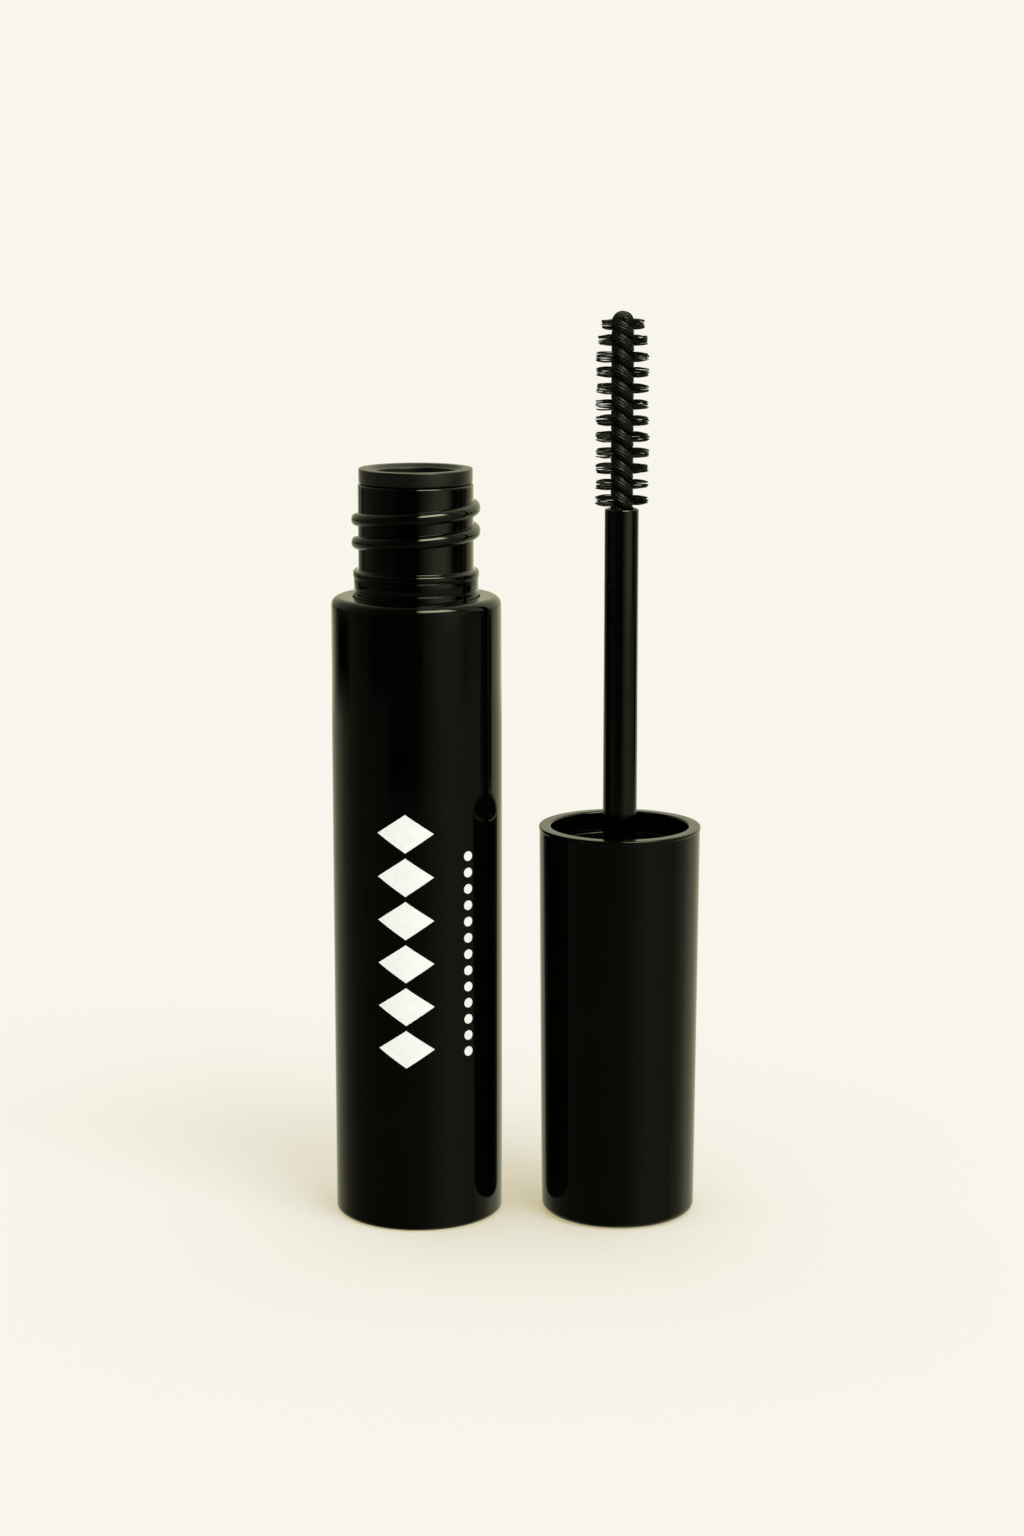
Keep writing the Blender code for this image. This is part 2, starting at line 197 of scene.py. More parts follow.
def tube_rings(path, sizes, sides, ridges=0, ridge=0.0, ridge_turns=0.0):
    """Rings of points round a path, carried along without twist. Ridges wind round it ridge_turns times."""
    rings = []
    side = None
    last = len(path) - 1
    for i, here in enumerate(path):
        ahead = path[min(i + 1, last)] - path[max(i - 1, 0)]
        ahead.normalize()
        if side is None:
            side = ahead.orthogonal().normalized()
        side = (side - ahead * side.dot(ahead)).normalized()
        other = ahead.cross(side)
        ring = []
        for k in range(sides):
            angle = 2 * math.pi * k / sides
            swell = 1.0
            if ridges:
                phase = ridges * angle + 2 * math.pi * ridge_turns * i / last
                swell += ridge * (abs(math.sin(phase / 2)) - 0.5)
            ring.append(here + (side * math.cos(angle) + other * math.sin(angle)) * sizes[i] * swell)
        rings.append(ring)
    return rings


def add_rings(verts, faces, rings):
    """Adds a closed tube, made of rings of the same size, to lists of vertices and faces."""
    start = len(verts)
    sides = len(rings[0])
    for ring in rings:
        verts.extend(ring)
    for i in range(len(rings) - 1):
        for k in range(sides):
            n = (k + 1) % sides
            a = start + i * sides
            b = a + sides
            faces.append((a + k, a + n, b + n, b + k))
    faces.append(tuple(start + k for k in reversed(range(sides))))
    end = start + (len(rings) - 1) * sides
    faces.append(tuple(end + k for k in range(sides)))


def mesh_from(name, verts, faces):
    mesh = bpy.data.meshes.new(name)
    mesh.from_pydata([tuple(v) for v in verts], [], faces)
    return new_object(name, mesh)


def thread_bead(name, radius, start, end, height_at_zero, bead, x):
    """A round bead along the thread, running out to little at both ends."""
    per_turn = 96
    count = round((end - start) / 360 * per_turn)
    path = []
    sizes = []
    run_out = 40
    for i in range(count + 1):
        degrees = start + (end - start) * i / count
        angle = math.radians(degrees)
        height = height_at_zero + PITCH * degrees / 360
        path.append(Vector((x + radius * math.cos(angle), radius * math.sin(angle), height)))
        near = min(1.0, min(degrees - start, end - degrees) / run_out)
        sizes.append(bead * (0.25 + 0.75 * math.sin(near * math.pi / 2)))
    verts, faces = [], []
    add_rings(verts, faces, tube_rings(path, sizes, 20))
    obj = mesh_from(name, verts, faces)
    outward(obj)
    return obj


def join(owner, *others):
    """Unites closed meshes with owner into one and removes them."""
    for other in others:
        union = owner.modifiers.new("Join", "BOOLEAN")
        union.operation = "UNION"
        union.object = other
    graph = bpy.context.evaluated_depsgraph_get()
    mesh = bpy.data.meshes.new_from_object(owner.evaluated_get(graph))
    owner.modifiers.clear()
    owner.data = mesh
    for other in others:
        bpy.data.objects.remove(other)
    return owner


# ---------------------------------------------------------------- materials


def node(tree, kind, **values):
    made = tree.nodes.new(kind)
    for key, value in values.items():
        setattr(made, key, value)
    return made


def noise(tree, scale, detail=2.0, rough=0.5):
    """Noise in the object's own coordinates."""
    made = node(tree, "ShaderNodeTexNoise")
    made.inputs["Scale"].default_value = scale
    made.inputs["Detail"].default_value = detail
    made.inputs["Roughness"].default_value = rough
    where = node(tree, "ShaderNodeTexCoord")
    tree.links.new(where.outputs["Object"], made.inputs["Vector"])
    return made


def spread(tree, source, low, high, out_low, out_high):
    """Maps low to high onto out_low to out_high, and holds the ends."""
    made = node(tree, "ShaderNodeMapRange")
    made.inputs["From Min"].default_value = low
    made.inputs["From Max"].default_value = high
    made.inputs["To Min"].default_value = out_low
    made.inputs["To Max"].default_value = out_high
    tree.links.new(source, made.inputs["Value"])
    return made.outputs["Result"]


# How a material's grain is crowded along x, y and z
EVEN = (1.0, 1.0, 1.0)
DRAWN = (6.0, 6.0, 0.08)
TURNED = (0.4, 0.4, 7.0)


def surface(name, dark, light, patch, rough, rough_patch, grain, depth, specular=0.5, marks=EVEN):
    """A procedural plastic, cream or foam: two tones in patches, uneven roughness and a fine grain.

    rough is the least and the most roughness. patch, rough_patch, grain and depth, the grain's height, are in
    millimetres. marks crowds the grain along x, y and z, into upright draw marks or level turning marks.
    """
    material = bpy.data.materials.new(name)
    material.use_nodes = True
    tree = material.node_tree
    shader = tree.nodes["Principled BSDF"]
    tone = node(tree, "ShaderNodeMix", data_type="RGBA")
    tone.inputs["A"].default_value = (*dark, 1.0)
    tone.inputs["B"].default_value = (*light, 1.0)
    patches = noise(tree, 1 / (patch * MM), 4.0, 0.55)
    tree.links.new(spread(tree, patches.outputs["Fac"], 0.35, 0.65, 0.0, 1.0), tone.inputs["Factor"])
    tree.links.new(tone.outputs["Result"], shader.inputs["Base Color"])
    wear = noise(tree, 1 / (rough_patch * MM), 5.0, 0.6)
    tree.links.new(spread(tree, wear.outputs["Fac"], 0.3, 0.7, *rough), shader.inputs["Roughness"])
    fine = noise(tree, 1 / (grain * MM), 3.0, 0.6)
    where = node(tree, "ShaderNodeTexCoord")
    crowd = node(tree, "ShaderNodeVectorMath", operation="MULTIPLY")
    crowd.inputs[1].default_value = marks
    tree.links.new(where.outputs["Object"], crowd.inputs[0])
    tree.links.new(crowd.outputs["Vector"], fine.inputs["Vector"])
    bump = node(tree, "ShaderNodeBump")
    bump.inputs["Strength"].default_value = 1.0
    bump.inputs["Distance"].default_value = depth * MM
    tree.links.new(fine.outputs["Fac"], bump.inputs["Height"])
    tree.links.new(bump.outputs["Normal"], shader.inputs["Normal"])
    shader.inputs["Specular IOR Level"].default_value = specular
    return material


def make_materials():
    """Every material by its key. The blacks are kept near zero: almost all that shows is mirrored."""
    black = (0.0004, 0.0004, 0.0003)
    gloss_light = (0.0009, 0.0009, 0.0007)
    rod_light = (0.0012, 0.0012, 0.001)
    lit_black = (0.004, 0.004, 0.0034)
    return {
        "gloss": surface(
            "gloss_black_plastic", black, gloss_light, patch=6,
            rough=(0.03, 0.08), rough_patch=3, grain=2.5, depth=0.0012, specular=0.25, marks=DRAWN,
        ),
        "neck": surface(
            "gloss_black_bottle", black, gloss_light, patch=5,
            rough=(0.04, 0.09), rough_patch=2.5, grain=2, depth=0.0008, specular=0.32, marks=TURNED,
        ),
        "rod": surface(
            "gloss_black_rod", black, rod_light, patch=4,
            rough=(0.06, 0.12), rough_patch=2, grain=1.5, depth=0.0015, specular=0.42, marks=DRAWN,
        ),
        "satin": surface(
            "satin_black_plastic", black, (0.004, 0.004, 0.0036), patch=1.5,
            rough=(0.22, 0.36), rough_patch=1, grain=0.12, depth=0.003, specular=0.4,
        ),
        "soft": surface(
            "soft_black_polyethylene", (0.002, 0.002, 0.0016), (0.0045, 0.0045, 0.0036), patch=0.8,
            rough=(0.28, 0.38), rough_patch=0.5, grain=0.07, depth=0.003, specular=0.5,
        ),
        "cream": surface(
            "wet_mascara_cream", (0.0008, 0.0008, 0.0008), (0.003, 0.003, 0.003), patch=0.9,
            rough=(0.12, 0.4), rough_patch=0.7, grain=0.5, depth=0.03, specular=0.5,
        ),
        "foam": surface(
            "liner_foam", (0.62, 0.61, 0.57), (0.8, 0.79, 0.75), patch=0.2,
            rough=(0.75, 0.95), rough_patch=0.2, grain=0.06, depth=0.02, specular=0.3,
        ),
        "wire": surface(
            "coated_twisted_wire", rod_light, lit_black, patch=0.3,
            rough=(0.3, 0.48), rough_patch=0.2, grain=0.05, depth=0.004, specular=0.22,
        ),
        "nylon": surface(
            "black_nylon_filament", (0.001, 0.001, 0.0009), lit_black, patch=0.25,
            rough=(0.3, 0.5), rough_patch=0.3, grain=0.1, depth=0.002, specular=0.25,
        ),
        "ink": surface(
            "white_screen_ink", (0.92, 0.92, 0.9), (0.97, 0.97, 0.95), patch=0.8,
            rough=(0.3, 0.45), rough_patch=0.5, grain=0.09, depth=0.003, specular=0.4,
        ),
    }


def settle(obj, material, body, slot, *nodes):
    """Gives a finished piece its material and its body, and hides the CAD nodes that it stands for. slot is
    not used.
    """
    obj.data.materials.clear()
    obj.data.materials.append(material)
    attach(obj, body)
    if nodes:
        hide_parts(*nodes)
    return obj


# ---------------------------------------------------------------- the tube


def make_shell(look):
    """The outer sleeve, with its rounded shoulder and foot, open at the mouth and below."""
    mouth = COLLAR_RADIUS + 0.04 * MM
    inside = TUBE_RADIUS - WALL
    corners = [
        (mouth, SHOULDER, 0.12 * MM),
        (TUBE_RADIUS, SHOULDER, 0.9 * MM),
        (TUBE_RADIUS, 0.0, 1.1 * MM),
        (inside, 0.0, 0.08 * MM),
        (inside, SHOULDER - WALL, 0.2 * MM),
        (mouth, SHOULDER - WALL, 0.1 * MM),
    ]
    obj = smooth(turned("shell_gloss", corners, TUBE_X, parts=12))
    settle(obj, look["gloss"], "tube", "gloss_black", "outer_shell")


def make_plug(look):
    """The disc that closes the sleeve from below: a raised rim inside, and a moulded groove underneath."""
    radius = PLUG_HIGH.x - TUBE_X
    rim = radius - 1.0 * MM
    floor = PLUG_HIGH.z - 1.0 * MM
    corners = [
        (0.0, floor, 0.0),
        (rim, floor, 0.15 * MM),
        (rim, PLUG_HIGH.z, 0.15 * MM),
        (radius, PLUG_HIGH.z, 0.15 * MM),
        (radius, 0.0, 0.25 * MM),
    ]
    ring_outer = radius - 1.3 * MM
    ring_inner = ring_outer - 0.35 * MM
    groove = 0.18 * MM
    corners += [
        (ring_outer, 0.0, 0.05 * MM),
        (ring_outer, groove, 0.05 * MM),
        (ring_inner, groove, 0.05 * MM),
        (ring_inner, 0.0, 0.05 * MM),
        (0.0, 0.0, 0.0),
    ]
    obj = smooth(turned("base_plug_disc", corners, TUBE_X, closed=False))
    settle(obj, look["satin"], "tube", "satin_black", "base_plug")


def make_bottle(look):
    """The hidden bottle and its bare neck, with the stop collar and the thread."""
    foot = BOTTLE_LOW.z
    bore = BOTTLE_RADIUS - WALL
    shoulder = SHOULDER - WALL - CLEAR
    bead = 0.3 * MM
    step = 0.12 * MM
    band = COLLAR_RADIUS - 0.08 * MM
    groove_top = SHOULDER + 0.85 * MM
    groove_low = SHOULDER + 0.6 * MM
    corners = [
        (0.0, foot + WALL, 0.0),
        (bore, foot + WALL, 0.6 * MM),
        (bore, shoulder - 2.0 * MM, 0.5 * MM),
        (NECK_BORE, shoulder, 0.5 * MM),
        (NECK_BORE, NECK_TOP, 0.1 * MM),
        (NECK_RADIUS, NECK_TOP, 0.22 * MM),
        (NECK_RADIUS, COLLAR_TOP, 0.14 * MM),
        (COLLAR_RADIUS, COLLAR_TOP, bead),
        (COLLAR_RADIUS, COLLAR_TOP - 2.3 * bead, 0.2 * MM),
        (band - step, COLLAR_TOP - 2.5 * bead, 0.05 * MM),
        (band, COLLAR_TOP - 2.9 * bead, 0.03 * MM),
        (band, groove_top, 0.03 * MM),
        (band - step, groove_top, 0.05 * MM),
        (band - step, groove_low, 0.05 * MM),
        (band, groove_low, 0.03 * MM),
        (band, shoulder, 0.0),
        (BOTTLE_RADIUS, shoulder, 0.3 * MM),
        (BOTTLE_RADIUS, foot, 0.7 * MM),
        (0.0, foot, 0.0),
    ]
    obj = turned("bottle_and_neck", corners, TUBE_X, closed=False)
    height_at_zero = BEAD_HEIGHT_AT_180 - PITCH / 2
    bead_obj = thread_bead("neck_bead", NECK_RADIUS, BEAD_START, BEAD_END, height_at_zero, BEAD, TUBE_X)
    smooth(join(obj, bead_obj), 45)
    settle(obj, look["neck"], "tube", "gloss_black", "inner_bottle")


def make_wiper(look):
    """The soft ring on the neck, with a funnel inside that narrows to a lip."""
    flange_under = NECK_TOP + 0.1 * MM
    sleeve = NECK_BORE - CLEAR
    wall = 0.8 * MM
    cone_top = WIPER_TOP - 8.4 * MM
    cone_bottom = WIPER_TOP - 12.2 * MM
    orifice = 2.1 * MM
    step = sleeve - 0.2 * MM
    corners = [
        (sleeve + 0.42 * MM, WIPER_TOP, 0.06 * MM),
        (FLANGE_RADIUS, WIPER_TOP, 0.12 * MM),
        (FLANGE_RADIUS, flange_under, 0.16 * MM),
        (sleeve, flange_under, 0.05 * MM),
        (sleeve, cone_top, 0.6 * MM),
        (orifice + wall, cone_bottom, 0.5 * MM),
        (orifice + wall, WIPER_LOW.z, 0.15 * MM),
        (orifice, WIPER_LOW.z, 0.15 * MM),
        (orifice, cone_bottom, 0.6 * MM),
        (sleeve - wall, cone_top, 0.6 * MM),
        (sleeve - wall, WIPER_TOP - 2.6 * MM, 0.3 * MM),
        (step, WIPER_TOP - 1.9 * MM, 0.2 * MM),
        (step, WIPER_TOP - 0.42 * MM, 0.08 * MM),
        (sleeve + 0.1 * MM, WIPER_TOP - 0.26 * MM, 0.05 * MM),
    ]
    obj = smooth(turned("wiper_ring", corners, TUBE_X))
    settle(obj, look["soft"], "tube", "soft_black", "wiper")


def make_cream(look):
    """The formula: a slumped surface with a ragged channel where the wand went in and out."""
    radius = CREAM_HIGH.x - TUBE_X
    level = CREAM_HIGH.z
    channel = BRUSH_RADIUS + CLEAR
    channel_floor = CREAM_LOW.z + 5.5 * MM
    corners = [
        (0.0, channel_floor, 0.0),
        (channel, channel_floor + channel, 0.8 * MM),
        (channel, level - 1.6 * MM, 1.2 * MM),
        (channel + 1.3 * MM, level - 0.1 * MM, 0.5 * MM),
        (radius, level - 0.1 * MM, 0.15 * MM),
        (radius, CREAM_LOW.z, 0.4 * MM),
        (0.0, CREAM_LOW.z, 0.0),
    ]
    obj = turned("formula_fill", corners, TUBE_X, closed=False, steps=96, parts=6)
    for vert in obj.data.vertices:
        angle = math.atan2(vert.co.y, vert.co.x - TUBE_X)
        reach = math.hypot(vert.co.x - TUBE_X, vert.co.y)
        if vert.co.z > level - 2.0 * MM and reach < radius * 0.97:
            vert.co.z -= 0.12 * MM * (1 + math.sin(3 * angle + 1.0) * math.sin(5 * angle))
    smooth(obj)
    settle(obj, look["cream"], "tube", "mascara_cream", "mascara_formula")


LOZENGE_HALF = 3.0 * MM
DOT_RADIUS = 0.52 * MM


def printed(verts, faces, middle_deg, low, high, half_width, rows=24, across=8):
    """A thin printed patch on the shell between two heights. half_width(share of its height) is its reach."""
    over = TUBE_RADIUS + 0.025 * MM
    under = TUBE_RADIUS - 0.05 * MM
    narrowest = 0.02 * MM
    rings = []
    for i in range(rows + 1):
        share = i / rows
        height = low + (high - low) * share
        half = max(half_width(share), narrowest) / TUBE_RADIUS
        ring = []
        for radius, order in ((over, range(across + 1)), (under, reversed(range(across + 1)))):
            for k in order:
                angle = math.radians(middle_deg) + half * (2 * k / across - 1)
                ring.append(Vector((TUBE_X + radius * math.cos(angle), radius * math.sin(angle), height)))
        rings.append(ring)
    add_rings(verts, faces, rings)


def lozenge_reach(share):
    """Half the width of a lozenge at a share of its height."""
    return LOZENGE_HALF * (1 - abs(2 * share - 1))


def dot_reach(share):
    """Half the width of a dot at a share of its height."""
    return DOT_RADIUS * math.sin(math.acos(2 * share - 1))


def make_ornament(look):
    """A plain printed ornament: a column of lozenges, and a finer column of dots beside it."""
    verts, faces = [], []
    lozenges = 6
    lozenge_deg = -96
    gap = 0.06
    low, high = SHOULDER * 0.265, SHOULDER * 0.68
    cell = (high - low) / lozenges
    for i in range(lozenges):
        bottom = low + cell * (i + gap)
        top = low + cell * (i + 1 - gap)
        printed(verts, faces, lozenge_deg, bottom, top, lozenge_reach)
    dots = 13
    dot_deg = -52
    low, high = SHOULDER * 0.29, SHOULDER * 0.605
    for i in range(dots):
        middle = low + (high - low) * i / (dots - 1)
        bottom, top = middle - DOT_RADIUS, middle + DOT_RADIUS
        printed(verts, faces, dot_deg, bottom, top, dot_reach, rows=14, across=4)
    obj = mesh_from("printed_ornament", verts, faces)
    outward(obj)
    smooth(obj, 50)
    settle(obj, look["ink"], "tube", "gloss_black")
    # The photo shows no print mirrored in the cap.
    obj.visible_glossy = False


# ---------------------------------------------------------------- the cap and wand


def make_cap(look):
    """The cap, upside down on its closed end, mouth up."""
    bore = INNER_RADIUS + CLEAR
    ledge = INNER_LOW.z
    corners = [
        (0.0, 1.6 * MM, 0.0),
        (bore - 0.75 * MM, 1.6 * MM, 0.5 * MM),
        (bore - 0.75 * MM, ledge, 0.1 * MM),
        (bore, ledge, 0.1 * MM),
        (bore, INNER_TOP + 0.5 * MM, 0.1 * MM),
        (CAP_MOUTH, INNER_TOP + 0.5 * MM, 0.15 * MM),
        (CAP_MOUTH, CAP_TOP, 0.22 * MM),
        (CAP_RADIUS + 0.06 * MM, CAP_TOP, 0.13 * MM),
        (CAP_RADIUS + 0.05 * MM, CAP_TOP - 0.3 * MM, 0.1 * MM),
        (CAP_RADIUS - 0.01 * MM, CAP_TOP - 0.42 * MM, 0.1 * MM),
        (CAP_END_RADIUS, 0.0, 0.9 * MM),
        (0.0, 0.0, 0.0),
    ]
    obj = smooth(turned("cap_gloss", corners, WAND_X, closed=False, parts=10))
    settle(obj, look["gloss"], "wand", "gloss_black", "outer_cap")


def make_inner_cap(look):
    """The threaded insert of the cap, with the socket that holds the stem."""
    floor_top = LINER_LOW.z - CLEAR
    floor_under = floor_top - 1.5 * MM
    hole = STEM_RADIUS + CLEAR
    lower_bore = INNER_RADIUS - 0.8 * MM
    socket_top = floor_top + 3.3 * MM
    corners = [
        (0.0, INNER_LOW.z + 1.5 * MM, 0.0),
        (hole, INNER_LOW.z + 1.5 * MM, 0.1 * MM),
        (hole, socket_top, 0.1 * MM),
        (SOCKET_RADIUS, socket_top, 0.2 * MM),
        (SOCKET_RADIUS, floor_top, 0.15 * MM),
        (INNER_BORE, floor_top, 0.15 * MM),
        (INNER_BORE, INNER_TOP, 0.12 * MM),
        (INNER_RADIUS, INNER_TOP, 0.15 * MM),
        (INNER_RADIUS, INNER_LOW.z + 2.5 * MM, 0.15 * MM),
        (lower_bore, INNER_LOW.z + 2.5 * MM, 0.15 * MM),
        (lower_bore, floor_under, 0.15 * MM),
        (SOCKET_RADIUS, floor_under, 0.15 * MM),
        (SOCKET_RADIUS, INNER_LOW.z, 0.2 * MM),
        (0.0, INNER_LOW.z, 0.0),
    ]
    obj = turned("inner_cap_thread", corners, WAND_X, closed=False)
    height_at_zero = CLOSED_SUM - BEAD_HEIGHT_AT_180 - PITCH / 2
    bead = thread_bead("cap_bead", INNER_BORE, CAP_BEAD_START, CAP_BEAD_END, height_at_zero, CAP_BEAD, WAND_X)
    smooth(join(obj, bead), 45)
    settle(obj, look["satin"], "wand", "satin_black", "inner_cap")


def make_liner(look):
    """The loose washer on the floor of the insert."""
    inner = LINER_HIGH.x - WAND_X - 2.82 * MM
    outer = LINER_HIGH.x - WAND_X
    corners = [
        (inner, LINER_TOP, 0.12 * MM),
        (outer, LINER_TOP, 0.12 * MM),
        (outer, LINER_LOW.z, 0.12 * MM),
        (inner, LINER_LOW.z, 0.12 * MM),
    ]
    obj = smooth(turned("liner_ring", corners, WAND_X))
    settle(obj, look["foam"], "liner", "liner_foam", "seal_liner")


def make_stem(look):
    """The plain rod, with a stop low down and a bore at the top for the wire."""
    hole = 1.42 * MM
    stop_low = LINER_LOW.z - CLEAR + 3.6 * MM
    stop_high = stop_low + 0.8 * MM
    corners = [
        (0.0, STEM_TOP - 13.0 * MM, 0.0),
        (hole, STEM_TOP - 13.0 * MM, 0.1 * MM),
        (hole, STEM_TOP, 0.12 * MM),
        (STEM_RADIUS, STEM_TOP, 0.3 * MM),
        (STEM_RADIUS, stop_high, 0.1 * MM),
        (STEM_STOP_RADIUS, stop_high, 0.15 * MM),
        (STEM_STOP_RADIUS, stop_low, 0.15 * MM),
        (STEM_RADIUS, stop_low, 0.05 * MM),
        (STEM_RADIUS, STEM_LOW.z, 0.25 * MM),
        (0.0, STEM_LOW.z, 0.0),
    ]
    obj = smooth(turned("stem_rod", corners, WAND_X, closed=False, steps=96))
    settle(obj, look["rod"], "wand", "gloss_black", "stem")


def twist_at(height):
    """The turn of the twisted wire at a height, in radians."""
    return -2 * math.pi * (height - TOP_ROW) / TWIST


def make_core(look):
    """The folded wire, each leg bedded in filament roots that run along it as fine ridges."""
    strand = 0.54 * MM
    offset = CORE_RADIUS - strand
    straight_top = TIP_TOP - offset - strand
    bottom = WIRE_LOW.z + 0.4 * MM
    parts = 420
    # Near the tip the legs turn a little more, so that the fold lies as it does in the photo.
    end_twist = math.radians(-58)
    end_run = 1.2 * MM
    up, down = [], []
    for i in range(parts + 1):
        height = bottom + (straight_top - bottom) * i / parts
        near_end = max(0.0, 1 - (straight_top - height) / end_run)
        across = twist_at(height) + math.pi / 2 + end_twist * near_end
        reach = Vector((offset * math.cos(across), offset * math.sin(across), 0.0))
        axis = Vector((WAND_X, 0.0, height))
        up.append(axis + reach)
        down.append(axis - reach)
    across = twist_at(straight_top) + math.pi / 2 + end_twist
    flat = Vector((math.cos(across), math.sin(across), 0.0))
    arch = []
    arch_parts = 16
    for i in range(1, arch_parts):
        turn = math.pi * i / arch_parts
        rise = Vector((0.0, 0.0, math.sin(turn) * offset))
        arch.append(Vector((WAND_X, 0.0, straight_top)) + flat * math.cos(turn) * offset + rise)
    path = up + arch + down[::-1]
    sizes = [strand] * len(path)
    ridges = 12
    ridge = 0.2
    strand_turns = 8
    verts, faces = [], []
    add_rings(verts, faces, tube_rings(path, sizes, 96, ridges, ridge, ridges * strand_turns))
    obj = mesh_from("twisted_core", verts, faces)
    outward(obj)
    smooth(obj, 60)
    settle(obj, look["wire"], "wand", "coated_wire", "core_wire")


def bristle_reach(height):
    """The brush's radius at a height: full over most of it, drawn in over the last rows at the tip."""
    taper = 4.0 * MM
    drawn_in = 0.6 * MM
    into = max(0.0, height - (BRUSH_HIGH.z - taper)) / taper
    return BRUSH_RADIUS - drawn_in * min(into, 1.0) ** 2


def filament(height, side, level, tip_level, reach):
    """One filament's path from the core outwards. The levels, from -1 to 1, are its places in the row."""
    start = 0.3 * MM
    swell = 0.58 * MM
    fan = -0.2 * level + random.uniform(-0.26, 0.26)
    fan_tip = fan * random.uniform(0.75, 1.1)
    stray = random.uniform(-0.05, 0.05) * MM
    wave = random.uniform(-0.04, 0.04) * MM
    wave_start = random.uniform(0.0, 2 * math.pi)
    path = []
    steps = 8
    for s in range(steps + 1):
        t = s / steps
        radius = start + (reach - start) * t
        angle = twist_at(height) + side + fan + (fan_tip - fan) * t
        place = level + (tip_level - level) * t**2.5
        bulge = 0.58 + 0.42 * math.sin(math.pi * min(1.0, 0.1 + 0.72 * t))
        rise = swell * place * bulge + stray * t * t
        rise += wave * t * math.sin(wave_start + 2.4 * math.pi * t)
        path.append(Vector((WAND_X + radius * math.cos(angle), radius * math.sin(angle), height + rise)))
    return path


def make_bristles(look):
    """Rows of filaments out of the twist to both sides, a row every half turn, their tips in small clumps."""
    thick = 0.061 * MM
    tip_share = 0.6
    clumps = 5
    per_clump = 4
    rows = int((TOP_ROW - BRUSH_LOW.z) / (TWIST / 2)) + 1
    verts, faces = [], []
    for row in range(rows):
        for side in (0.0, math.pi):
            height = TOP_ROW - row * TWIST / 2 + random.uniform(-0.04, 0.04) * MM
            full = bristle_reach(height) * random.uniform(0.97, 1.0)
            for clump in range(clumps):
                middle = (2 * (clump + 0.5) / clumps - 1) * random.uniform(0.8, 1.05)
                clump_reach = full * (1 - random.uniform(0.0, 0.06))
                for i in range(per_clump):
                    level = 2 * (clump + (i + random.random()) / per_clump) / clumps - 1
                    tip_level = middle * 0.92 + random.uniform(-0.09, 0.09)
                    reach = clump_reach * random.uniform(0.96, 1.0)
                    path = filament(height, side, level, tip_level, reach)
                    sizes = [thick * random.uniform(0.85, 1.15)] * (len(path) - 1)
                    sizes.append(sizes[-1] * tip_share)
                    add_rings(verts, faces, tube_rings(path, sizes, 6))
    obj = mesh_from("bristle_filaments", verts, faces)
    obj.data.shade_smooth()
    settle(obj, look["nylon"], "wand", "nylon_black", "bristles")


# ---------------------------------------------------------------- the studio

BACKDROP = (0.9387, 0.9216, 0.8388)

# The studio that the glossy pieces mirror, as brightness by compass turn: 0 degrees is towards the camera and
# 90 is to its right. It is given in bands, from the lowest, mirrored low on the tube, to the sky.
LOW_GLOW = (
    (-180, 0.9), (-157, 0.66), (-127, 0.45), (-112, 0.28), (-90, 0.14), (-60, 0.1), (-35, 0.1), (0, 0.12),
    (12, 0.16), (24, 0.27), (42, 0.4), (64, 0.36), (82, 0.26), (102, 0.45), (120, 0.8), (180, 0.9),
)
MIDDLE_GLOW = (
    (-180, 0.9), (-157, 0.66), (-127, 0.45), (-112, 0.26), (-90, 0.14), (-60, 0.1), (-42, 0.1), (-30, 0.0),
    (2, 0.0), (14, 0.16), (24, 0.27), (42, 0.4), (64, 0.36), (90, 0.28), (96, 0.2), (101, 0.0), (121, 0.0),
    (127, 0.7), (180, 0.9),
)
UPPER_GLOW = (
    (-180, 1.5), (-157, 1.1), (-140, 0.45), (-132, 0.12), (-124, 0.0), (-105, 0.0), (-99, 0.12), (-84, 0.11),
    (-68, 0.08), (-60, 0.0), (7, 0.0), (14, 0.14), (22, 0.26), (30, 0.37), (45, 0.44), (60, 0.38), (71, 0.18),
    (84, 0.26), (97, 0.2), (101, 0.0), (121, 0.0), (128, 0.75), (180, 1.5),
)
TOP_GLOW = (
    (-180, 1.8), (-154, 1.0), (-146, 0.1), (-138, 0.45), (-131, 0.05), (-112, 0.16), (-80, 0.08), (-48, 0.05),
    (-32, 0.0), (5, 0.0), (17, 0.2), (30, 0.5), (44, 0.85), (62, 0.85), (72, 0.42), (81, 0.0), (90, 0.0),
    (98, 0.08), (106, 0.12), (116, 0.05), (128, 0.55), (180, 1.8),
)
SKY_GLOW = (
    (-180, 0.78), (-120, 0.4), (-60, 0.06), (0, 0.02), (20, 0.2), (44, 0.7), (70, 0.35), (120, 1.2),
    (150, 1.2), (180, 0.78),
)
# Each band after the lowest, with the rise of the mirrored ray where it begins and where it is full
GLOW_BANDS = (
    (MIDDLE_GLOW, -0.206, -0.196),
    (UPPER_GLOW, -0.176, -0.163),
    (TOP_GLOW, -0.144, -0.139),
    (SKY_GLOW, -0.02, 0.06),
)


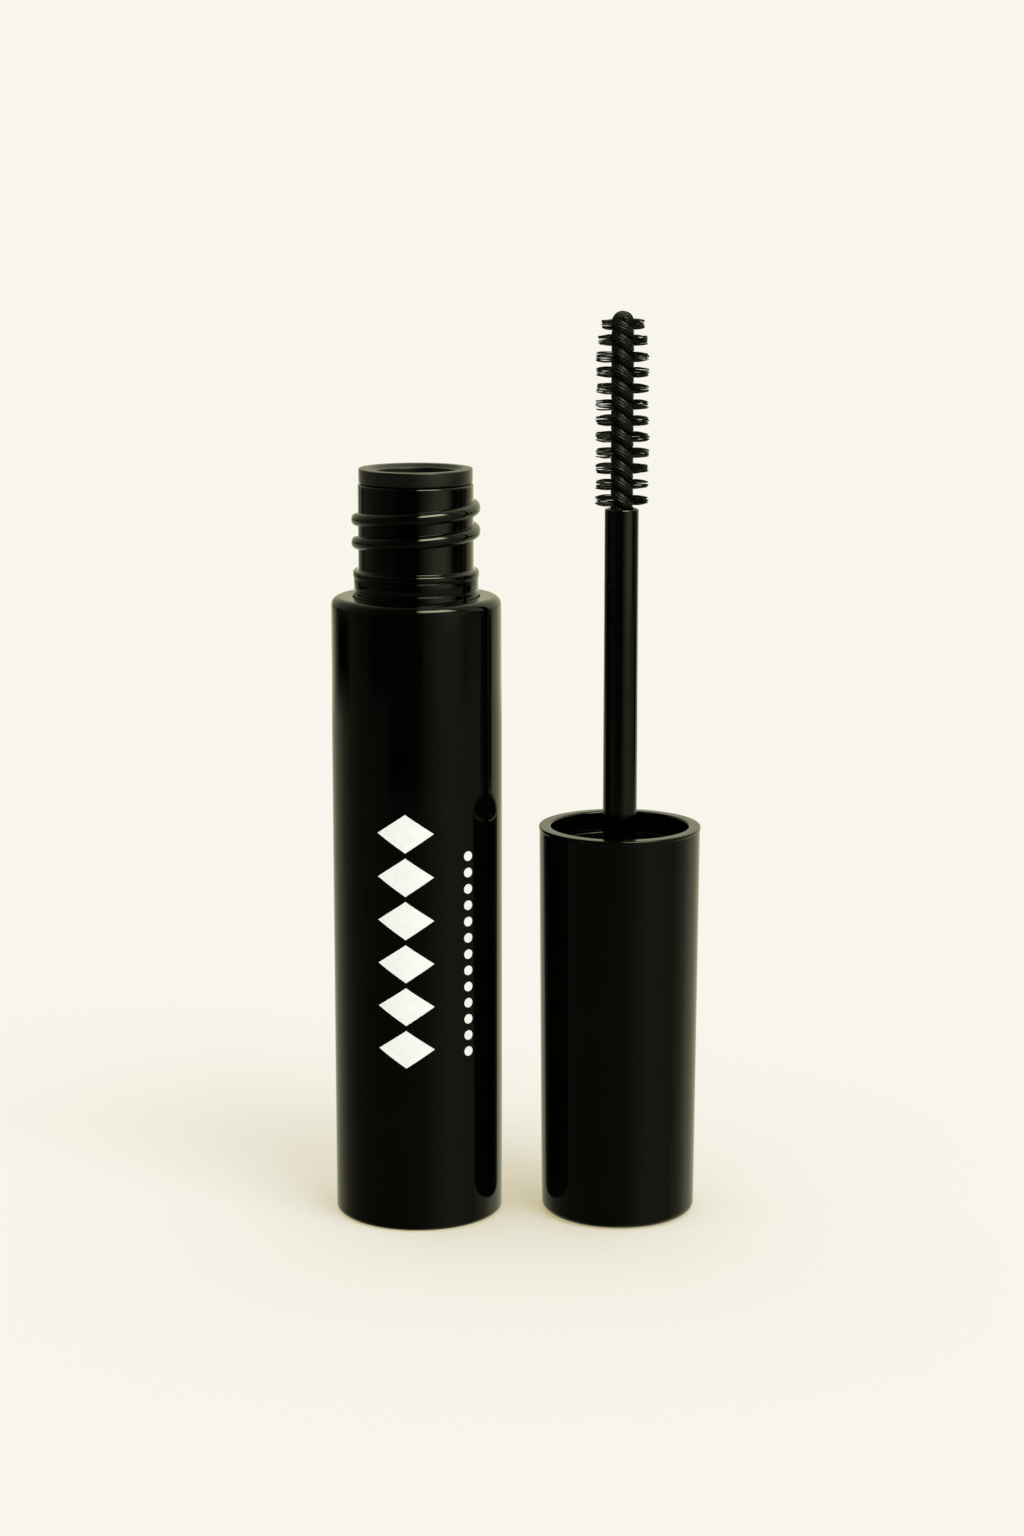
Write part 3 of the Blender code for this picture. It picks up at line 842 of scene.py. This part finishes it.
def make_paper():
    """Pale paper round the set. Further off it takes on the backdrop's own tone, so that no edge shows; this
    painted glow also lightens its shadows from 3 cm out and hides them past 20 cm.
    """
    material = bpy.data.materials.new("pale_paper")
    material.use_nodes = True
    tree = material.node_tree
    shader = tree.nodes["Principled BSDF"]
    shader.inputs["Roughness"].default_value = 0.9
    shader.inputs["Specular IOR Level"].default_value = 0.0
    fibre = noise(tree, 1 / (0.8 * MM), 6.0, 0.6)
    tone = node(tree, "ShaderNodeMix", data_type="RGBA")
    # Part of the floor's light is its own, least of it blue, which keeps the shadows light and warm.
    shaded = (0.54, 0.62, 0.85)
    paper = tuple(c * share for c, share in zip((0.962, 0.949, 0.886), shaded))
    own = tuple(c * (1 - share) for c, share in zip(BACKDROP, shaded))
    shader.inputs["Emission Color"].default_value = (*own, 1.0)
    shader.inputs["Emission Strength"].default_value = 1.0
    tone.inputs["A"].default_value = tuple(c * 0.985 for c in paper) + (1.0,)
    tone.inputs["B"].default_value = (*paper, 1.0)
    tree.links.new(fibre.outputs["Fac"], tone.inputs["Factor"])
    tree.links.new(tone.outputs["Result"], shader.inputs["Base Color"])
    where = node(tree, "ShaderNodeTexCoord")
    length = node(tree, "ShaderNodeVectorMath", operation="LENGTH")
    tree.links.new(where.outputs["Object"], length.inputs[0])
    # Painted light: from near to far the paper turns into a glow of the backdrop's tone, which thins the
    # shadows on it.
    near, far = 0.03, 0.2
    fade = spread(tree, length.outputs["Value"], near, far, 0.0, 1.0)
    glow = node(tree, "ShaderNodeEmission")
    glow.inputs["Color"].default_value = (*BACKDROP, 1.0)
    blend = node(tree, "ShaderNodeMixShader")
    tree.links.new(fade, blend.inputs["Fac"])
    tree.links.new(shader.outputs["BSDF"], blend.inputs[1])
    tree.links.new(glow.outputs["Emission"], blend.inputs[2])
    tree.links.new(blend.outputs["Shader"], tree.nodes["Material Output"].inputs["Surface"])
    return material


def make_floor():
    mesh = bpy.data.meshes.new("floor")
    reach = 6.0
    corners = [(-reach, -reach, 0), (reach, -reach, 0), (reach, reach, 0), (-reach, reach, 0)]
    mesh.from_pydata(corners, [], [(0, 1, 2, 3)])
    floor = new_object("floor", mesh)
    # Just below the feet, so that no faces coincide
    floor.location.z = -0.02 * MM
    floor.visible_glossy = False
    mesh.materials.append(make_paper())


def ramp(tree, source, stops):
    """Brightness by compass turn or rise, from (place, brightness) stops on a source from 0 to 1."""
    made = node(tree, "ShaderNodeValToRGB")
    elements = made.color_ramp.elements
    while len(elements) < len(stops):
        elements.new(0.5)
    for element, (place, value) in zip(elements, stops):
        element.position = place
        element.color = (value, value, value, 1.0)
    tree.links.new(source, made.inputs["Fac"])
    return made.outputs["Color"]


def math_node(tree, operation, *sources):
    made = node(tree, "ShaderNodeMath", operation=operation)
    for i, source in enumerate(sources):
        if isinstance(source, float):
            made.inputs[i].default_value = source
        else:
            tree.links.new(source, made.inputs[i])
    return made.outputs["Value"]


def turn_ramp(tree, turn, stops):
    """A ramp whose stops are given in degrees of compass turn, from -180 to 180."""
    return ramp(tree, turn, [(degrees / 360 + 0.5, value) for degrees, value in stops])


def mirrored_studio(tree):
    """What glossy pieces mirror: a dark room in front, a softbox to the right, and the pale sweep behind."""
    where = node(tree, "ShaderNodeTexCoord")
    parts = node(tree, "ShaderNodeSeparateXYZ")
    tree.links.new(where.outputs["Generated"], parts.inputs["Vector"])
    east, north, up = parts.outputs
    south = math_node(tree, "MULTIPLY", north, -1.0)
    turn = math_node(tree, "ARCTAN2", east, south)
    turn = math_node(tree, "MULTIPLY_ADD", turn, 1 / (2 * math.pi), 0.5)
    glow = turn_ramp(tree, turn, LOW_GLOW)
    for stops, start, full in GLOW_BANDS:
        band = node(tree, "ShaderNodeMix", data_type="FLOAT")
        tree.links.new(spread(tree, up, start, full, 0.0, 1.0), band.inputs["Factor"])
        tree.links.new(glow, band.inputs["A"])
        tree.links.new(turn_ramp(tree, turn, stops), band.inputs["B"])
        glow = band.outputs["Result"]
    box_sides = ((2, 0), (14, 1), (56, 1), (68, 0))
    box_rise = ((0.5, 0), (0.6, 1), (0.82, 1), (0.9, 0))
    box_strength = 16.0
    box = math_node(tree, "MULTIPLY", turn_ramp(tree, turn, box_sides), ramp(tree, up, box_rise))
    box = math_node(tree, "MULTIPLY", box, box_strength)
    return math_node(tree, "ADD", glow, box)


def make_world():
    """The camera sees the plain backdrop, glossy rays the mirrored studio, and the rest an even warm fill."""
    world = bpy.data.worlds.new("studio")
    world.use_nodes = True
    bpy.context.scene.world = world
    tree = world.node_tree
    fill = tree.nodes["Background"]
    fill.inputs["Color"].default_value = (1.0, 0.985, 0.95, 1.0)
    fill.inputs["Strength"].default_value = 0.8
    seen = node(tree, "ShaderNodeBackground")
    seen.inputs["Color"].default_value = (*BACKDROP, 1.0)
    mirrored = node(tree, "ShaderNodeBackground")
    mirrored.inputs["Color"].default_value = (1.0, 1.0, 0.68, 1.0)
    tree.links.new(mirrored_studio(tree), mirrored.inputs["Strength"])
    ray = node(tree, "ShaderNodeLightPath")
    in_gloss = node(tree, "ShaderNodeMixShader")
    tree.links.new(ray.outputs["Is Glossy Ray"], in_gloss.inputs["Fac"])
    tree.links.new(fill.outputs["Background"], in_gloss.inputs[1])
    tree.links.new(mirrored.outputs["Background"], in_gloss.inputs[2])
    blend = node(tree, "ShaderNodeMixShader")
    tree.links.new(ray.outputs["Is Camera Ray"], blend.inputs["Fac"])
    tree.links.new(in_gloss.outputs["Shader"], blend.inputs[1])
    tree.links.new(seen.outputs["Background"], blend.inputs[2])
    tree.links.new(blend.outputs["Shader"], tree.nodes["World Output"].inputs["Surface"])


def make_lights():
    """One broad soft key from the right and in front, which casts the soft shadows to the left and behind."""
    data = bpy.data.lights.new("soft_key", "SUN")
    data.energy = 1.0
    data.angle = math.radians(40)
    data.color = (0.95, 0.98, 1.0)
    key = new_object("soft_key", data)
    key.location = (0.62, -0.7, 0.85)
    key.rotation_euler = (-key.location).to_track_quat("-Z", "Y").to_euler()
    key.visible_glossy = False


def make_camera():
    """The photo's view: a long lens a little above the set, looking down on it."""
    aside = 3.3 * MM
    distance = 0.3335
    height = 0.11325
    pitch_deg = 10.98
    yaw_deg = 0.65
    data = bpy.data.cameras.new("camera")
    data.sensor_width = 36.0
    data.lens = 75.0
    data.clip_start = 0.01
    camera = new_object("camera", data)
    middle = (TUBE_X - TUBE_RADIUS + CAP_HIGH.x) / 2
    camera.location = (middle + aside, -distance, height)
    camera.rotation_euler = (math.radians(90 - pitch_deg), 0.0, math.radians(yaw_deg))
    bpy.context.scene.camera = camera


def main():
    look = make_materials()
    make_shell(look)
    make_plug(look)
    make_bottle(look)
    make_wiper(look)
    make_cream(look)
    make_ornament(look)
    make_cap(look)
    make_inner_cap(look)
    make_liner(look)
    make_stem(look)
    make_core(look)
    make_bristles(look)
    make_floor()
    make_world()
    make_lights()
    make_camera()
    bpy.context.scene.view_settings.view_transform = "Standard"


main()
bpy.context.view_layer.update()
